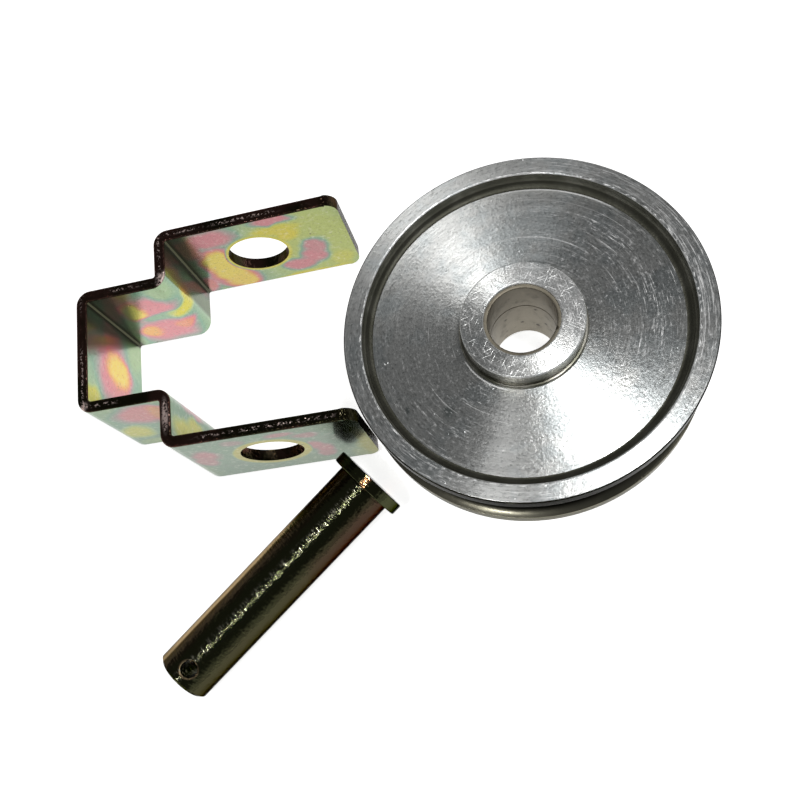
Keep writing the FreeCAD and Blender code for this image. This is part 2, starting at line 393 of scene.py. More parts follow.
def turned_aluminium(settings):
    """Bright turned aluminium: rings left by the tool, scuffs, dents, nicks and handling scratches, with
    painted highlights: scuffs made denser on the lit side and bright arcs on rings where the light catches
    them.
    """
    material, nodes = new_material("turned_aluminium")
    point = nodes.point()
    x, y, z = nodes.axes(point)
    radius = (x * x + y * y) ** 0.5
    round_x, round_y = x / (radius + 1e-6), y / (radius + 1e-6)
    mid_radius = 35 * MM

    def ring_point(variety, per_metre):
        """A point that changes that often round the wheel and along its radius."""
        return nodes.vector(round_x * variety, round_y * variety, radius * per_metre)

    def rings(per_metre, variety, detail=2.0):
        return nodes.noise(ring_point(variety, per_metre), 1.0, detail, 0.6)

    def ring_dashes(long, wide, thickness):
        """Dashes that follow the turning marks, long and wide being their cells at mid radius."""
        return dashes(nodes, ring_point(mid_radius / long, 1 / wide), (1.0, 1.0, 1.0), thickness, 0.6)

    def toward(degrees, reach):
        """1 on the spokes within reach degrees of a direction from the bore, falling off beside them."""
        angle = math.radians(degrees)
        along = round_x * math.cos(angle) + round_y * math.sin(angle)
        edge = math.cos(math.radians(reach))
        return nodes.step(along, edge - 0.12, edge)

    fine = rings(2200.0, 9.0)
    grain = rings(1700.0, 30.0, 3.0)
    streaks = rings(3300.0, 9.0, 3.0)
    rim_lines = rings(3600.0, 3.5, 3.0)
    web_lines = rings(1500.0, 2.0, 3.0)
    coarse = rings(520.0, 1.8, 3.0)
    broad = rings(150.0, 0.7, 2.0)
    mottle = nodes.noise(point, 1300.0, 4.0, 0.7)
    patch = nodes.noise(point, 130.0, 3.0, 0.6)
    cloud = nodes.noise(point, 45.0, 2.0, 0.5)

    hub_face = nodes.step(z, wheel_high.z * 0.93, wheel_high.z * 0.97)
    rim_face = nodes.step(radius, 44.5 * MM, 45.5 * MM)
    wear = nodes.step(patch * 0.6 + cloud * 0.5, 0.50, 0.66)
    # Painted highlight: the scuffs, rim streaks, hub cuts and dark streaks are made denser towards 30 degrees,
    # the side where the light catches the turning marks.
    lit_side = toward(30, 65)
    rubbed = nodes.band(radius, 34.0 * MM, 36.0 * MM, 0.9 * MM) * toward(42, 56)
    # Painted highlights: bright arcs on three turning rings, only where the light catches them; the outermost
    # lies in the recess fillet.
    painted_highlight_lines = nodes.band(radius, 27.35 * MM, 27.55 * MM, 0.15 * MM) * toward(88, 34)
    painted_highlight_lines = painted_highlight_lines + nodes.band(radius, 38.8 * MM, 38.9 * MM, 0.12 * MM) * toward(80, 40) * 0.7
    painted_highlight_lines = painted_highlight_lines + nodes.band(radius, 41.8 * MM, 42.1 * MM, 0.1 * MM) * toward(73, 13) * 2
    # Painted glint: a short bright arc at the hub's foot.
    painted_foot_glint = nodes.band(radius, 17.9 * MM, 18.2 * MM, 0.1 * MM) * toward(226, 4)
    lip = nodes.band(radius, 44.9 * MM, 45.3 * MM, 0.1 * MM) * nodes.step(grain, 0.48, 0.62)

    arcs = ring_dashes(70 * MM, 1.2 * MM, 0.14) + ring_dashes(40 * MM, 0.9 * MM, 0.13) * 0.8
    ticks = ring_dashes(6 * MM, 0.5 * MM, 0.26) * (0.35 + wear * 0.65)
    nicks = nodes.step(nodes.cells(point, 260.0), 0.09, 0.05) * nodes.step(patch, 0.52, 0.62)
    marks = scratches(nodes, point, 0.55, 8.5 * MM, 1.1 * MM, 0.12)
    for angle, long in ((1.35, 7.0), (2.35, 9.0), (-0.35, 6.5), (-1.05, 10.0)):
        marks = marks + scratches(nodes, point, angle, long * MM, 1.0 * MM, 0.12)
    cuts = scratches(nodes, point, 0.25, 8.0 * MM, 0.6 * MM, 0.24)
    for angle in (1.0, 1.8, 2.5, -0.6):
        cuts = cuts + scratches(nodes, point, angle, 7.0 * MM, 0.5 * MM, 0.24)

    # This mask holds the real scuffs and also the painted highlights below.
    scuffs_and_painted_highlights = arcs * 0.5 + ticks * 0.5 + nicks * 0.8 + marks * 0.35 * (0.3 + wear)
    scuffs_and_painted_highlights = scuffs_and_painted_highlights + (1 - rim_face) * nodes.step(streaks, 0.56, 0.74) * (0.18 + lit_side * 0.24)
    scuffs_and_painted_highlights = scuffs_and_painted_highlights + (1 - rim_face) * nodes.step(web_lines, 0.54, 0.70) * 0.28
    scuffs_and_painted_highlights = scuffs_and_painted_highlights + rubbed * nodes.step(streaks * 0.5 + mottle * 0.5, 0.48, 0.62) * 0.35
    scuffs_and_painted_highlights = scuffs_and_painted_highlights + painted_highlight_lines * 0.6 + painted_foot_glint * 2 + lip * 0.9
    rim_scuffs = nodes.step(rim_lines + fine * 0.4, 0.68, 0.86) * (0.25 + lit_side * 0.25)
    scuffs_and_painted_highlights = scuffs_and_painted_highlights + rim_face * (0.08 + rim_scuffs)
    scuffs_and_painted_highlights = scuffs_and_painted_highlights + hub_face * (cuts * (0.5 + lit_side * 0.5) + 0.08 + lit_side * 0.25)
    scuffs_and_painted_highlights = scuffs_and_painted_highlights + nodes.step(grain, 0.50, 0.72) * 0.35 + nodes.step(mottle, 0.55, 0.8) * 0.25

    colour = nodes.mix(wear, settings.face_colour, settings.worn_colour)
    colour = nodes.mix(nodes.step(grain * 0.6 + mottle * 0.4, 0.50, 0.33) * 0.6, colour, settings.pit_colour)
    colour = nodes.mix(nodes.step(streaks, 0.42, 0.28) * (0.22 + lit_side * 0.30), colour, settings.pit_colour)
    colour = nodes.mix(hub_face * nodes.step(cuts, 0.1, 0.5) * 0.25, colour, settings.pit_colour)
    for middle, reach in STAINS:
        stain = nodes.step(nodes.from_patch(point, middle, reach) + patch * 0.6, 1.4, 0.6)
        colour = nodes.mix(stain * 0.75, colour, settings.stain_colour)
    height = fine * 0.45 + coarse * 0.5 + broad * 0.8 + grain * 0.6 + mottle * 0.5 + patch * 1.2
    height = height - nicks * 0.8 - cuts * hub_face * 0.3
    normal = nodes.bump(height, 0.05 * MM)
    turned = nodes.metal({
        "Base Color": colour, "Roughness": 0.31 + wear * 0.05 + (coarse - 0.5) * 0.14, "Normal": normal,
        "Anisotropic": 0.90, "Anisotropic Rotation": 0.25,
        "Tangent": nodes.add("ShaderNodeTangent", {"direction_type": "RADIAL", "axis": "Z"}),
    })
    bright = nodes.metal({"Base Color": settings.bright_colour, "Roughness": 0.52, "Normal": normal})
    nodes.surface(nodes.blend(nodes.step(scuffs_and_painted_highlights, 0.0, 1.3), turned, bright))
    return material


def cast_aluminium(settings):
    """The recess wall as it came from the mould: dull, dark and grainy, with painted shade along its top edge
    and its foot.
    """
    material, nodes = new_material("cast_aluminium")
    point = nodes.point()
    grain = nodes.noise(point, 900.0, 4.0, 0.65)
    cloud = nodes.noise(point, 120.0, 3.0, 0.5)
    height = abs(nodes.axes(point)[2])
    half_rim = settings.rim_width / 2
    foot = settings.web_thickness / 2
    # Painted shade: the wall is darkened near its foot at the web and at its top edge under the rim's face.
    shaded = nodes.step(height, foot + 1.3 * MM, foot + 0.9 * MM)
    shaded = shaded + nodes.step(height, half_rim - 0.8 * MM, half_rim)
    colour = nodes.mix(nodes.step(cloud, 0.4, 0.7), settings.cast_colour, settings.cast_light_colour)
    colour = nodes.mix(shaded * 0.8, colour, settings.recess_painted_shade)
    nodes.surface(nodes.metal({
        "Base Color": colour, "Roughness": 0.36 + grain * 0.2,
        "Normal": nodes.bump(grain + cloud * 1.5, 0.08 * MM),
    }))
    return material


def groove_aluminium(settings):
    """The turned rail groove, dull, with painted light and shade by height: a pale lit lower land, black shade
    in the groove and a dark upper land.
    """
    material, nodes = new_material("groove_aluminium")
    point = nodes.point()
    x, y, z = nodes.axes(point)
    radius = (x * x + y * y) ** 0.5
    rings = nodes.noise(nodes.vector(x / radius * 2.0, y / radius * 2.0, z * 1500.0), 1.0, 2.0, 0.6)
    cloud = nodes.noise(point, 90.0, 3.0, 0.5)
    height = z / settings.rim_width + 0.5
    # Painted light and shade by height: pale on the lower land, black low in the groove, lighter across its
    # middle, near black on the upper land.
    colour = nodes.ramp(height, (
        (0.00, (0.62, 0.60, 0.50, 1.0)),
        (0.04, (0.42, 0.40, 0.32, 1.0)),
        (0.19, (0.30, 0.285, 0.22, 1.0)),
        (0.22, (0.012, 0.012, 0.008, 1.0)),
        (0.36, (0.010, 0.010, 0.007, 1.0)),
        (0.42, (0.22, 0.21, 0.165, 1.0)),
        (0.60, (0.10, 0.10, 0.07, 1.0)),
        (0.82, (0.035, 0.033, 0.022, 1.0)),
        (1.00, (0.016, 0.015, 0.010, 1.0)),
    ))
    colour = nodes.mix(nodes.step(cloud, 0.56, 0.68) * 0.55, colour, settings.groove_colour)
    nodes.surface(nodes.metal({
        "Base Color": colour, "Roughness": 0.16 + cloud * 0.14, "Specular Tint": (0.3, 0.3, 0.3, 1.0),
        "Normal": nodes.bump(rings + cloud * 1.5, 0.05 * MM),
    }))
    return material


def hub_aluminium(settings):
    """The hub's side, turned but left dull and brownish."""
    material, nodes = new_material("hub_aluminium")
    point = nodes.point()
    x, y, z = nodes.axes(point)
    radius = (x * x + y * y) ** 0.5
    rings = nodes.noise(nodes.vector(x / radius * 1.5, y / radius * 1.5, z * 2500.0), 1.0, 2.0, 0.6)
    cloud = nodes.noise(point, 140.0, 3.0, 0.5)
    colour = nodes.mix(nodes.step(cloud, 0.35, 0.7), settings.hub_colour, settings.groove_colour)
    nodes.surface(nodes.metal({
        "Base Color": colour, "Roughness": 0.26 + cloud * 0.12,
        "Normal": nodes.bump(rings + cloud * 0.6, 0.05 * MM),
    }))
    return material


def bush_metal(settings):
    """The bushes' bearing metal, warm grey with dark stains."""
    material, nodes = new_material("bush_metal")
    point = nodes.point()
    cloud = nodes.noise(point, 260.0, 4.0, 0.6)
    spots = nodes.step(nodes.cells(point, 260.0), 0.22, 0.08) * nodes.step(cloud, 0.45, 0.55)
    stained = nodes.step(cloud, 0.5, 0.75) * 0.5 + spots
    colour = nodes.mix(stained, settings.bore_colour, settings.stain_colour)
    nodes.surface(nodes.metal({
        "Base Color": colour, "Roughness": 0.42 + cloud * 0.12,
        "Normal": nodes.bump(cloud - spots, 0.05 * MM),
    }))
    return material


# The zinc's film, from thin to thick, and the colour it gives
FILM = (
    (0.00, (0.74, 0.60, 0.07, 1.0)),
    (0.12, (0.62, 0.60, 0.12, 1.0)),
    (0.25, (0.48, 0.56, 0.20, 1.0)),
    (0.34, (0.42, 0.54, 0.28, 1.0)),
    (0.44, (0.26, 0.42, 0.31, 1.0)),
    (0.53, (0.42, 0.36, 0.34, 1.0)),
    (0.62, (0.64, 0.27, 0.30, 1.0)),
    (0.70, (0.70, 0.30, 0.23, 1.0)),
    (0.78, (0.76, 0.43, 0.16, 1.0)),
    (0.88, (0.80, 0.66, 0.15, 1.0)),
    (1.00, (0.78, 0.70, 0.28, 1.0)),
)

# Patches of the film on the bracket: middle and reach along X, Y and Z in millimetres, and film
FILM_PATCHES = (
    # far ear
    ((-60, 43, 3), (25, 7, 30), 0.24),
    ((-68, 43, 14), (9, 5, 3.2), 0.08),
    ((-65, 43, 10), (4.5, 5, 4), 0.06),
    ((-52, 43, -10), (5, 5, 6), 0.16),
    ((-63, 43, -15.5), (15, 5, 2), 0.08),
    ((-66, 43, -9), (7, 5, 4.5), 0.62),
    ((-60, 43, -5), (5, 5, 6), 0.62),
    ((-58.5, 43, 0.5), (4.5, 5, 6), 0.60),
    ((-90, 43, 3), (7.5, 5, 8.5), 0.88),
    ((-89, 43, -6), (7.5, 5, 9), 0.88),
    ((-86, 43, -12), (7, 5, 6), 0.86),
    ((-88, 43, 16), (10, 5, 5.5), 0.62),
    ((-97, 43, 12), (5, 5, 7), 0.68),
    ((-67, 43, 19.5), (8, 5, 3), 0.62),
    ((-98, 43, -11), (4, 5, 6), 0.66),
    # far wall and step
    ((-112, 28, -7), (13, 6, 9.5), 0.63),
    ((-117, 28, -6), (4, 5, 5), 0.78),
    ((-104.5, 28, -5), (4, 5, 4), 0.72),
    ((-111, 28, 10), (11, 6, 8), 0.63),
    ((-117, 28, 8), (5, 5, 7.5), 0.86),
    ((-108, 28, 2.5), (12, 6, 2.8), 0.42),
    ((-102, 30, 2.5), (6.5, 4.5, 3.2), 0.10),
    ((-100, 33, 5), (3, 3, 6), 0.10),
    ((-103, 28, 17), (6, 5, 7), 0.38),
    # base
    ((-126, 11, 4), (5, 13, 13), 0.64),
    ((-126, 13, 1), (5, 7, 9.5), 0.86),
    ((-126, 24, 5), (5, 5, 8), 0.64),
    ((-126, 24, -11), (5, 10, 8), 0.37),
    ((-126, -1, 18), (5, 4, 6), 0.12),
    # near wall and step
    ((-113, -7, 12), (11, 6, 9), 0.64),
    ((-108, -7, 11), (4, 5, 8), 0.74),
    ((-122, -7, -2), (6, 5, 7), 0.14),
    ((-117, -7, -13), (12, 5, 4), 0.36),
    ((-100, -14, 12), (4, 4, 9), 0.13),
    ((-100, -11, 2), (4, 3.5, 8), 0.13),
    ((-100, -5.5, 4), (4, 2.5, 12), 0.60),
    # near ear
    ((-95, -21, 8), (5, 5, 6), 0.62),
    ((-97, -21, 2), (4, 5, 6), 0.60),
    ((-63.5, -21, 3), (3.5, 5, 5), 0.62),
    ((-61, -21, -2.5), (3.5, 5, 6), 0.62),
    ((-62, -21, -7), (3, 5, 3.5), 0.60),
    ((-70, -21, 17), (5, 5, 2.6), 0.60),
    ((-63, -21, 13.5), (5, 5, 3), 0.58),
    ((-84, -21, 16), (4, 5, 3), 0.55),
    ((-50, -21, -12), (6, 5, 7), 0.32),
    ((-48.5, -21, -2), (3.5, 5, 17), 0.14),
)


def rainbow_zinc(settings):
    """Passivated zinc whose film changes colour with its thickness, in patches with coloured fringes, and
    painted shade: darker on the near side and the far ear and in the bends' inside corners.
    """
    material, nodes = new_material("rainbow_zinc")
    point = nodes.point()
    drift = nodes.add("ShaderNodeTexNoise", {}, {"Vector": point, "Scale": 130.0, "Detail": 2.0},
                      output="Color")
    drift = nodes.add("ShaderNodeVectorMath", {"operation": "SUBTRACT"}, {0: drift, 1: (0.5, 0.5, 0.5)})
    drift = nodes.add("ShaderNodeVectorMath", {"operation": "SCALE"}, {0: drift, "Scale": 4.5 * MM})
    wavy = nodes.add("ShaderNodeVectorMath", {"operation": "ADD"}, {0: point, 1: drift})
    facing = nodes.axes(nodes.add("ShaderNodeTexCoord", output="Normal"))
    turned_away = nodes.step(facing[1] - facing[0], 0.2, 0.6)
    wide = nodes.noise(point, 38.0, 2.0, 0.5)
    film = 0.43 + (wide - 0.5) * (0.25 + turned_away * 1.1)
    for middle, reach, thickness in FILM_PATCHES:
        patch = nodes.step(nodes.from_patch(wavy, middle, reach), 1.15, 0.45)
        film = film + patch * (thickness - film)
    x, y, z = nodes.axes(point)
    across, up = x - ear_hole["pos_m"][0], z - ear_hole["pos_m"][2]
    from_hole = (across * across + up * up) ** 0.5
    from_rim = from_hole - ear_hole_radius - nodes.step(y, 0.0, -10 * MM) * 1.2 * MM
    film = film + nodes.step(from_rim, 1.6 * MM, 0.4 * MM) * (0.08 - film)
    colour = nodes.mix(1.0, nodes.ramp(film, FILM), settings.film_shade, "MULTIPLY")
    # Painted shade: the film is darkened on the far ear and more on the near side, standing in for the dark
    # surroundings these faces reflect.
    thick = nodes.step(y, 38 * MM, 42 * MM) * 0.55 + nodes.step(y, 5 * MM, -4 * MM) * 0.72
    thick = thick + nodes.step(y, -12 * MM, -18 * MM) * 0.28
    colour = nodes.mix(thick, colour, settings.dark_reflection_shade, "MULTIPLY")
    speckle = nodes.noise(point, 700.0, 3.0, 0.6)
    colour = nodes.mix(nodes.step(speckle, 0.50, 0.80) * 0.30, colour, settings.haze_colour)
    specks = nodes.noise(point, 1200.0, 3.0, 0.7)
    colour = nodes.mix(nodes.step(specks, 0.52, 0.72) * 0.35, colour, settings.pit_colour)

    # Painted shade: dark olive in the inside corners of the bends, where the walls reflect each other's dark
    # faces.
    from_top = bracket_high.z - z
    by_base = nodes.step(x + from_top * 0.31, -112 * MM, -115 * MM)
    by_base = by_base * nodes.band(y, 27.6 * MM, 29.4 * MM, 0.5 * MM)
    on_base = nodes.step(y - from_top * 0.40, 12 * MM, 15 * MM) * nodes.step(x, -124.5 * MM, -125.5 * MM)
    by_step = nodes.step(x + from_top * 0.18, -92 * MM, -95 * MM) * nodes.step(y, 41.5 * MM, 42.5 * MM)
    on_step = nodes.step(y, 32.5 * MM, 34.5 * MM) * nodes.band(x, -101 * MM, -99.5 * MM, 1 * MM)
    corners = (by_base + on_base + by_step + on_step) * (0.55 + wide * 0.45)
    colour = nodes.mix(corners, colour, settings.corner_shade_colour)
    pits = nodes.step(nodes.cells(point, 120.0), 0.055, 0.035)
    colour = nodes.mix(pits * 0.8, colour, settings.pit_colour)
    grain = nodes.noise(point, 1500.0, 2.0, 0.5)
    soft = nodes.noise(point, 240.0, 2.0, 0.5)
    nodes.surface(nodes.metal({
        "Base Color": colour, "Roughness": 0.14 + soft * 0.11,
        "Normal": nodes.bump(grain * 0.4 + soft - pits, 0.03 * MM),
    }))
    return material


# Places where the strip's upper edge gets painted glints: middle and reach along X, Y and Z in millimetres
GLINT_PATCHES = (
    ((-101.0, 30.6, 21.0), (2.6, 3.0, 3.0)),
    ((-102.0, -12.0, 21.0), (1.2, 6.0, 3.0)),
    ((-127.5, -5.0, 21.0), (1.5, 1.5, 3.0)),
)


def sheared_zinc(settings):
    """The strip's sheared edges under the same zinc: darker, with painted glints: bright flecks along the crown
    and clusters where the light catches the bends.
    """
    material, nodes = new_material("sheared_zinc")
    point = nodes.point()
    x, y, z = nodes.axes(point)
    cloud = nodes.noise(point, 70.0, 3.0, 0.5)
    colour = nodes.mix(nodes.step(cloud, 0.42, 0.60), settings.edge_colour, settings.warm_edge_colour)

    half_sheet = settings.sheet / 2
    inner_x = bracket_low.x + settings.sheet
    side = abs(y - (bracket_low.y + bracket_high.y) / 2)
    in_wall = abs(side - settings.half_channel - half_sheet)
    in_ear = abs(side - (bracket_high.y - bracket_low.y) / 2 + half_sheet)
    in_base = abs(x - inner_x + half_sheet)
    in_step = abs(x - inner_x - settings.wall_length + half_sheet)
    across = nodes.least(nodes.least(in_wall, in_ear), nodes.least(in_base, in_step))
    fleck = nodes.noise(point, 1500.0, 2.0, 0.6)
    stretch = nodes.noise(point, 42.0, 1.0, 0.5)
    # Painted glints: bright flecks along the middle of each edge's crown and in patches at the bends, standing
    # in for the light's sparkle.
    painted_glints = nodes.step(across, 0.80 * MM, 0.10 * MM) * nodes.step(fleck, 0.51, 0.60)
    painted_glints = painted_glints * nodes.step(stretch, 0.45, 0.55)
    for middle, reach in GLINT_PATCHES:
        patch = nodes.step(nodes.from_patch(point, middle, reach), 1.2, 0.4)
        painted_glints = painted_glints + patch * nodes.step(fleck, 0.36, 0.48)
    half_width = (bracket_high.z - bracket_low.z) / 2
    from_middle = abs(z - bracket_low.z - half_width)
    painted_glints = painted_glints * nodes.step(from_middle, half_width - 1.2 * MM, half_width - 0.8 * MM)
    colour = nodes.mix(painted_glints * 0.85, colour, settings.glint_paint_colour)
    ragged = nodes.noise(point, 1000.0, 2.0, 0.5)
    nodes.surface(nodes.metal({
        "Base Color": colour, "Roughness": 0.12 + painted_glints * 0.38, "Specular Tint": (0.4, 0.4, 0.4, 1.0),
        "Normal": nodes.bump(ragged, 0.32 * MM),
    }))
    return material


def dark_zinc(settings):
    """The pin's thick olive-black film over a finely turned shank, browner along its sides, with a painted
    sheen on the ridges along its top and a painted copper glint on the head.
    """
    material, nodes = new_material("dark_zinc")
    point = nodes.point()
    x, y, z = nodes.axes(point)
    sideways = Vector((shank_axis.y, -shank_axis.x, 0)).normalized()
    offset = -sideways.dot(shank_middle)
    side = x * sideways.x + y * sideways.y + offset
    along = x * shank_axis.x + y * shank_axis.y + z * shank_axis.z - shank_axis.dot(shank_middle)
    shank_only = nodes.step(along, -shank_length / 2, -shank_length / 2 + 0.3 * MM)
    cloud = nodes.noise(point, 75.0, 3.0, 0.5)
    ripple = (cloud - 0.5) * 4 * MM
    toward_head = nodes.step(along, 5 * MM, -25 * MM)
    brown = nodes.step(side + ripple, 1.2 * MM, 3.2 * MM) * 0.7
    brown = brown + nodes.step(side + ripple, -4.5 * MM, -8.5 * MM) * (0.35 + toward_head * 0.65)
    colour = nodes.mix(brown * shank_only, settings.film_colour, settings.brown_colour)
    above_axis = z - shank_middle.z - along * shank_axis.z
    tan = nodes.step(side + ripple * 0.25, 5.3 * MM, 6.3 * MM) * nodes.step(along, -25 * MM, -10 * MM)
    tan = tan * nodes.step(above_axis, -1.0 * MM, 1.5 * MM)
    colour = nodes.mix(tan * shank_only, colour, settings.tan_colour)
    colour = nodes.mix(nodes.step(cloud, 0.5, 0.7) * 0.4, colour, settings.dull_colour)
    # Painted glint: a copper band round the head's edge where the highlight falls.
    glint = nodes.band(side, -3.4 * MM, -2.2 * MM, 0.5 * MM) * (1 - shank_only)
    colour = nodes.mix(glint, colour, settings.glint_colour)

    from_middle = [x - split_hole_middle.x, y - split_hole_middle.y, z - split_hole_middle.z]
    depth = sum(part * axis for part, axis in zip(from_middle, split_hole_axis))
    from_hole = (sum(part * part for part in from_middle) - depth * depth) ** 0.5
    mouth = nodes.band(from_hole, split_hole_radius + 0.1 * MM, split_hole_radius + 0.5 * MM, 0.1 * MM)
    colour = nodes.mix(mouth * 0.8, colour, settings.tan_colour)

    # Painted highlight: the turning ridges along the top are made lighter where the highlight runs.
    ridges = nodes.noise(nodes.vector(along * 2200.0, side * 500.0, z * 500.0), 1.0, 2.0, 0.6)
    painted_sheen = nodes.band(side + ripple * 0.3, -2.2 * MM, -0.6 * MM, 1.0 * MM)
    painted_sheen = painted_sheen * nodes.step(ridges, 0.52, 0.62)
    colour = nodes.mix(painted_sheen * shank_only, colour, settings.worn_colour)

    turning = nodes.noise(nodes.vector(along * 1800.0, side * 260.0, z * 260.0), 1.0, 2.0, 0.6)
    lumps = nodes.noise(point, 900.0, 1.0, 0.5)
    nodes.surface(nodes.metal({
        "Base Color": colour, "Roughness": 0.10 + cloud * 0.04 + painted_sheen * 0.08,
        "Specular Tint": (0.3, 0.3, 0.3, 1.0),
        "Normal": nodes.bump(lumps * 0.6 + turning, 0.20 * MM),
    }))
    return material


def outline(corners):
    """A flat bmesh face from (along X, along Z) corners, and its vertices in that order."""
    bm = bmesh.new()
    verts = [bm.verts.new((across, 0.0, up)) for across, up in corners]
    bm.faces.new(verts)
    return bm, verts


def round_corners(bm, verts, radius, segments):
    """Rounds an outline's corners so that they run out at radius from each corner."""
    bmesh.ops.bevel(bm, geom=verts, offset=radius, offset_type="OFFSET", segments=segments, profile=0.5,
                    affect="VERTICES", material=-1)


def round_edges(bm, edges, radius, segments):
    """Rounds edges so that the rounding runs out at radius from each edge."""
    bmesh.ops.bevel(bm, geom=edges, offset=radius, offset_type="OFFSET", segments=segments, profile=0.5,
                    affect="EDGES", material=-1)


def turn(bm, axis, segments):
    """Turns the flat face's outline into a solid of revolution about an axis through the origin."""
    face = next(iter(bm.faces))
    rim = list(face.verts) + list(face.edges)
    bmesh.ops.delete(bm, geom=[face], context="FACES_ONLY")
    bmesh.ops.spin(
        bm, geom=rim, cent=(0, 0, 0), axis=axis, angle=2 * math.pi, steps=segments, use_merge=True)
    bmesh.ops.remove_doubles(bm, verts=bm.verts, dist=1e-7)
    bmesh.ops.recalc_face_normals(bm, faces=bm.faces)


def bake_modifiers(piece):
    """Applies the piece's modifiers, so that the mesh that shows is the piece's own."""
    depsgraph = bpy.context.evaluated_depsgraph_get()
    mesh = bpy.data.meshes.new_from_object(piece.evaluated_get(depsgraph))
    piece.modifiers.clear()
    piece.data = mesh


def new_piece(bm, name):
    mesh = bpy.data.meshes.new(name)
    bm.to_mesh(mesh)
    bm.free()
    piece = bpy.data.objects.new(name, mesh)
    bpy.context.scene.collection.objects.link(piece)
    return piece


def cut_out(piece, tool_bm):
    """Cuts a closed shape out of the piece."""
    tool = new_piece(tool_bm, "cutter")
    boolean = piece.modifiers.new("cut", "BOOLEAN")
    boolean.operation = "DIFFERENCE"
    boolean.solver = "EXACT"
    boolean.object = tool
    bpy.context.view_layer.update()
    bake_modifiers(piece)
    mesh = tool.data
    bpy.data.objects.remove(tool)
    bpy.data.meshes.remove(mesh)


def finish_piece(piece, materials, body, node, sharp_angle=math.radians(32)):
    """Shades the piece smoothly with true flats, gives it its materials, attaches it to its body and hides its
    CAD node.
    """
    piece.data.shade_smooth()
    piece.data.set_sharp_from_angle(angle=sharp_angle)
    weighted = piece.modifiers.new("flats", "WEIGHTED_NORMAL")
    weighted.keep_sharp = True
    weighted.weight = 50
    bpy.context.view_layer.update()
    bake_modifiers(piece)
    piece.data.name = piece.name
    piece.data.materials.clear()
    for material in materials:
        piece.data.materials.append(material)
    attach(piece, body)
    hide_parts(node)


def paint_faces(piece, choose):
    """Gives each face the material whose number choose returns for its centre and normal."""
    for polygon in piece.data.polygons:
        polygon.material_index = choose(polygon.center, polygon.normal)


class GATEWHEEL_OT_wheel(bpy.types.Operator):
    """Builds the grooved aluminium wheel"""

    bl_idname = "gatewheel.wheel"
    bl_label = "Wheel body"

    def execute(self, context):
        s = context.scene.gate_wheel_wheel
        half_hub, half_rim, half_web = wheel_high.z, s.rim_width / 2, s.web_thickness / 2
        rim, centre_radius = s.rim_radius, s.groove_centre_radius
        half_mouth = math.sqrt(s.groove_radius ** 2 - (centre_radius - rim) ** 2)
        groove_bottom = centre_radius - s.groove_radius - 0.1 * MM
        upper = [
            (s.seat_radius, half_hub), (s.hub_radius, half_hub), (s.hub_radius, half_web + s.collar_height),
            (s.collar_radius, half_web + s.collar_height), (s.collar_radius, half_web),
            (s.recess_floor_radius, half_web), (s.recess_mouth_radius, half_rim), (rim, half_rim),
        ]
        lip_angle = math.asin(half_mouth / s.groove_radius)
        groove_steps = 28
        groove = []
        for i in range(groove_steps + 1):
            angle = lip_angle * (1 - 2 * i / groove_steps)
            across, up = s.groove_radius * math.cos(angle), s.groove_radius * math.sin(angle)
            groove.append((centre_radius - across, up))
        lower = [(radius, -height) for radius, height in reversed(upper)]
        bm, verts = outline(upper + groove + lower)
        sharp_corners, recess_corner, first_lip = (0, 1, 3, 6, 7), 5, len(upper)
        last = len(verts) - 1
        floors = [recess_corner, last - recess_corner]
        broken = [i for corner in sharp_corners for i in (corner, last - corner)]
        lips = [first_lip, first_lip + groove_steps]
        round_corners(bm, [verts[i] for i in floors], s.recess_fillet, 8)
        round_corners(bm, [verts[i] for i in sorted(broken)], s.edge_radius, 4)
        round_corners(bm, [verts[i] for i in lips], s.edge_radius * 0.5, 4)
        turn(bm, Z, s.segments)
        wheel = new_piece(bm, "wheel")

        materials = [turned_aluminium(s), cast_aluminium(s), groove_aluminium(s), hub_aluminium(s)]
        turned, cast, groove_wall, hub_side = range(len(materials))

        def surface(centre, normal):
            radius, height = math.hypot(centre.x, centre.y), abs(centre.z)
            if radius > rim - s.edge_radius * 0.8 or (radius > groove_bottom and height < half_mouth):
                return groove_wall
            if half_web + 0.05 * MM < height < half_hub - s.edge_radius and 16 * MM < radius < 19 * MM:
                return hub_side
            inside = s.recess_floor_radius - s.recess_fillet < radius < s.recess_mouth_radius
            if inside and half_web + 0.02 * MM < height < half_rim - 0.3 * MM:
                return cast
            return turned

        finish_piece(wheel, materials, "wheel", "wheel_body")
        paint_faces(wheel, surface)
        return {"FINISHED"}


class GATEWHEEL_OT_bushes(bpy.types.Operator):
    """Builds the two bushes pressed into the hub"""

    bl_idname = "gatewheel.bushes"
    bl_label = "Bushes"

    def execute(self, context):
        s = context.scene.gate_wheel_bushes
        material = bush_metal(s)
        for node, name in (("upper_bush", "bush_upper"), ("lower_bush", "bush_lower")):
            low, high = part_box(node)
            bore, outside = bush_bore_radius, bush_bore_radius + s.wall
            bm, verts = outline([(bore, low.z), (outside, low.z), (outside, high.z), (bore, high.z)])
            round_corners(bm, [verts[0], verts[3]], s.mouth_chamfer, 3)
            turn(bm, Z, s.segments)
            finish_piece(new_piece(bm, name), [material], "wheel", node)
        return {"FINISHED"}


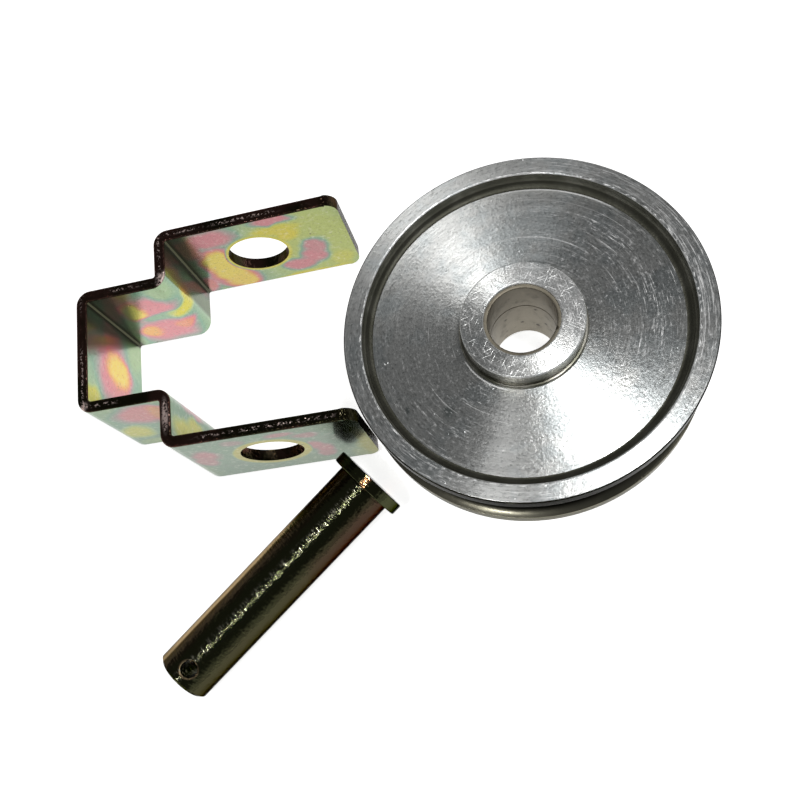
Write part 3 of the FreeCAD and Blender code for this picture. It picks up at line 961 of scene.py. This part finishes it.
class GATEWHEEL_OT_bracket(bpy.types.Operator):
    """Builds the bracket, bent from one strip"""

    bl_idname = "gatewheel.bracket"
    bl_label = "Bent bracket"

    def execute(self, context):
        s = context.scene.gate_wheel_bracket
        middle_y = (bracket_low.y + bracket_high.y) / 2
        inner_x = bracket_low.x + s.sheet
        half_gap = (bracket_high.y - bracket_low.y) / 2 - s.sheet
        ear_end = bracket_high.x - inner_x
        step_back = s.wall_length - s.sheet
        half = [
            (0, s.half_channel), (s.wall_length, s.half_channel), (s.wall_length, half_gap),
            (ear_end, half_gap), (ear_end, half_gap + s.sheet),
            (step_back, half_gap + s.sheet), (step_back, s.half_channel + s.sheet),
            (-s.sheet, s.half_channel + s.sheet),
        ]
        corners = half + [(reach, -side) for reach, side in reversed(half)]
        bm = bmesh.new()
        verts = [bm.verts.new((inner_x + reach, middle_y + side, bracket_low.z)) for reach, side in corners]
        bm.faces.new(verts)
        count = len(verts)
        creases = [verts[i] for i in (0, 6, 2)] + [verts[count - 1 - i] for i in (0, 6, 2)]
        outsides = [verts[i] for i in (7, 1, 5)] + [verts[count - 1 - i] for i in (7, 1, 5)]
        round_corners(bm, creases, s.crease_radius, 5)
        round_corners(bm, outsides, s.bend_radius, 12)
        width = bracket_high.z - bracket_low.z
        grown = bmesh.ops.extrude_face_region(bm, geom=list(bm.faces))
        top = [v for v in grown["geom"] if isinstance(v, bmesh.types.BMVert)]
        bmesh.ops.translate(bm, verts=top, vec=Z * width)
        ends = [e for e in bm.edges if all(abs(v.co.x - bracket_high.x) < 1e-6 for v in e.verts)
                and abs(e.verts[0].co.z - e.verts[1].co.z) < 1e-6]
        round_edges(bm, ends, s.ear_corner_radius, 10)
        bmesh.ops.recalc_face_normals(bm, faces=bm.faces)
        caps = [f for f in bm.faces if abs(f.normal.z) > 0.99]
        rims = list({edge for cap in caps for edge in cap.edges})
        round_edges(bm, rims, s.crown, 5)
        bracket = new_piece(bm, "bracket")

        drill = bmesh.new()
        drill_length = 2 * (half_gap + s.sheet) + 20 * MM
        bmesh.ops.create_cone(drill, cap_ends=True, segments=96, radius1=ear_hole_radius,
                              radius2=ear_hole_radius, depth=drill_length)
        across = Matrix.Rotation(math.pi / 2, 3, "X")
        bmesh.ops.rotate(drill, verts=drill.verts, cent=(0, 0, 0), matrix=across)
        hole_x = ear_hole["pos_m"][0]
        hole_z = ear_hole["pos_m"][2]
        bmesh.ops.translate(drill, verts=drill.verts, vec=(hole_x, middle_y, hole_z))
        cut_out(bracket, drill)
        bevel = bracket.modifiers.new("edges", "BEVEL")
        bevel.width = s.edge_radius
        bevel.segments = 3
        bevel.limit_method = "ANGLE"
        bevel.angle_limit = math.radians(40)
        bevel.miter_outer = "MITER_ARC"
        bpy.context.view_layer.update()
        bake_modifiers(bracket)

        materials = [rainbow_zinc(s), sheared_zinc(s)]
        film, sheared = range(len(materials))

        def surface(centre, normal):
            if centre.x > inner_x + s.wall_length + 1.5 * MM:
                return film if abs(normal.y) > 0.95 else sheared
            return film if abs(normal.z) < 0.30 else sheared

        finish_piece(bracket, materials, "bracket", "bent_bracket")
        paint_faces(bracket, surface)
        return {"FINISHED"}


class GATEWHEEL_OT_pin(bpy.types.Operator):
    """Builds the headed pin with its split-pin hole"""

    bl_idname = "gatewheel.pin"
    bl_label = "Headed pin"

    def execute(self, context):
        s = context.scene.gate_wheel_pin
        neck, tail = -shank_length / 2, shank_length / 2 + s.tail_chamfer
        head = neck - s.head_thickness
        hole_along = (split_hole_middle - shank_middle).dot(shank_axis)
        near, far = hole_along - 5 * MM, hole_along + 4 * MM
        bm = bmesh.new()
        corners = [
            (0, head), (s.head_radius, head), (s.head_radius, neck), (shank_radius, neck),
            (shank_radius, near), (shank_radius, far), (shank_radius, tail - s.tail_chamfer),
            (shank_radius - s.tail_chamfer, tail), (0, tail),
        ]
        bm, verts = outline(corners)
        round_corners(bm, verts[1:3], s.head_rounding, 4)
        turn(bm, Z, s.segments)
        across = split_hole_axis - shank_axis * split_hole_axis.dot(shank_axis)
        across.normalize()
        turned = Matrix((across, shank_axis.cross(across), shank_axis)).transposed()
        to_place = Matrix.Translation(shank_middle) @ turned.to_4x4()
        bmesh.ops.transform(bm, matrix=to_place, verts=bm.verts)
        pin = new_piece(bm, "pin")

        reach = 2 * shank_radius
        mouth = shank_radius - s.hole_chamfer
        bore = split_hole_radius
        wide = bore + reach - mouth
        upper = [(bore, mouth), (wide, reach), (0, reach)]
        lower = [(out, -up) for out, up in reversed(upper)]
        drill = outline(lower + upper)[0]
        turn(drill, Z, 64)
        to_hole = to_place @ Matrix.Translation(Z * hole_along) @ Matrix.Rotation(math.pi / 2, 4, "Y")
        bmesh.ops.transform(drill, matrix=to_hole, verts=drill.verts)
        cut_out(pin, drill)
        finish_piece(pin, [dark_zinc(s)], "pin", "clevis_pin")
        return {"FINISHED"}


class GATEWHEEL_OT_stage(bpy.types.Operator):
    """Builds the table, the lights and the camera"""

    bl_idname = "gatewheel.stage"
    bl_label = "Table, lights and camera"

    def execute(self, context):
        s = context.scene.gate_wheel_stage
        bm = bmesh.new()
        bmesh.ops.create_circle(bm, cap_ends=True, segments=96, radius=s.floor_radius)
        bmesh.ops.translate(bm, verts=bm.verts, vec=(0, 0, wheel_low.z))
        floor = new_piece(bm, "table")
        material, nodes = new_material("table_white")
        # Painted shadow: the table's glow is switched off where a piece nearly closes it in, under the pin and
        # at the pieces' feet.
        open_sky = nodes.add("ShaderNodeAmbientOcclusion", {"samples": 8}, {"Distance": s.shade_reach},
                             output="AO")
        glow = nodes.mix(nodes.step(open_sky, 0.01, 0.12), (0.0, 0.0, 0.0, 1.0), (1.0, 1.0, 1.0, 1.0))
        shader = nodes.add("ShaderNodeBsdfPrincipled", {}, {
            "Base Color": s.floor_colour, "Roughness": 0.9, "Specular IOR Level": 0.0,
            "Emission Color": glow, "Emission Strength": s.floor_glow})
        nodes.add("ShaderNodeOutputMaterial", {}, {"Surface": shader})
        floor.data.materials.append(material)

        world = bpy.data.worlds.new("studio")
        context.scene.world = world
        nodes = Nodes(world)
        direction = nodes.add("ShaderNodeTexCoord", output="Generated")
        low = nodes.step(nodes.axes(direction)[2], 0.50, 0.20)
        seen = nodes.add("ShaderNodeLightPath", output="Is Camera Ray")
        colour = nodes.mix(low, s.high_sky, s.low_sky)
        colour = nodes.mix(seen, colour, (1.0, 1.0, 1.0, 1.0))
        background = nodes.add("ShaderNodeBackground", {}, {"Color": colour, "Strength": 1.0})
        nodes.add("ShaderNodeOutputWorld", {}, {"Surface": background})

        add_lamp("key", s.key_place, s.key_target, s.key_size, s.key_power)
        add_lamp("side", s.side_place, s.side_target, s.side_size, s.side_power)
        add_camera(s)
        context.scene.view_settings.view_transform = "Standard"
        return {"FINISHED"}


def add_lamp(name, position, target, size, watts):
    """A round soft lamp at a position, turned to its target."""
    light = bpy.data.lights.new(name, "AREA")
    light.shape = "DISK"
    light.size = size
    light.energy = watts
    lamp = bpy.data.objects.new(name, light)
    lamp.location = position
    lamp.rotation_euler = (Vector(target) - Vector(position)).to_track_quat("-Z", "Y").to_euler()
    bpy.context.scene.collection.objects.link(lamp)


def add_camera(settings):
    """The camera, turned to its target and then rolled."""
    data = bpy.data.cameras.new("camera")
    data.lens = settings.lens
    data.sensor_width = 36.0
    data.shift_x = settings.shift_x
    data.shift_y = settings.shift_y
    data.clip_start = 0.01
    data.clip_end = 100.0
    camera = bpy.data.objects.new("camera", data)
    position = Vector(settings.camera_place)
    forward = (Vector(settings.camera_target) - position).normalized()
    level = forward.cross(Z).normalized()
    right = Matrix.Rotation(settings.camera_roll, 3, forward) @ level
    up = right.cross(forward)
    turned = Matrix((right, up, -forward)).transposed()
    camera.matrix_world = Matrix.Translation(position) @ turned.to_4x4()
    bpy.context.scene.collection.objects.link(camera)
    bpy.context.scene.camera = camera


class GATEWHEEL_PT_kit(bpy.types.Panel):
    bl_idname = "GATEWHEEL_PT_kit"
    bl_label = "Gate wheel kit"
    bl_space_type = "VIEW_3D"
    bl_region_type = "UI"
    bl_category = "Gate wheel"

    def draw(self, context):
        for operator in OPERATORS:
            self.layout.operator(operator.bl_idname)


OPERATORS = (
    GATEWHEEL_OT_stage,
    GATEWHEEL_OT_wheel,
    GATEWHEEL_OT_bushes,
    GATEWHEEL_OT_bracket,
    GATEWHEEL_OT_pin,
)
SETTINGS = {
    "gate_wheel_stage": StageSettings,
    "gate_wheel_wheel": WheelSettings,
    "gate_wheel_bushes": BushSettings,
    "gate_wheel_bracket": BracketSettings,
    "gate_wheel_pin": PinSettings,
}


def register():
    for settings in SETTINGS.values():
        bpy.utils.register_class(settings)
    for operator in OPERATORS:
        bpy.utils.register_class(operator)
    bpy.utils.register_class(GATEWHEEL_PT_kit)
    for name, settings in SETTINGS.items():
        setattr(bpy.types.Scene, name, PointerProperty(type=settings))


def unregister():
    for name in SETTINGS:
        delattr(bpy.types.Scene, name)
    bpy.utils.unregister_class(GATEWHEEL_PT_kit)
    for operator in reversed(OPERATORS):
        bpy.utils.unregister_class(operator)
    for settings in reversed(SETTINGS.values()):
        bpy.utils.unregister_class(settings)


def main():
    register()
    bpy.ops.gatewheel.stage()
    bpy.ops.gatewheel.wheel()
    bpy.ops.gatewheel.bushes()
    bpy.ops.gatewheel.bracket()
    bpy.ops.gatewheel.pin()


if __name__ == "__main__":
    main()
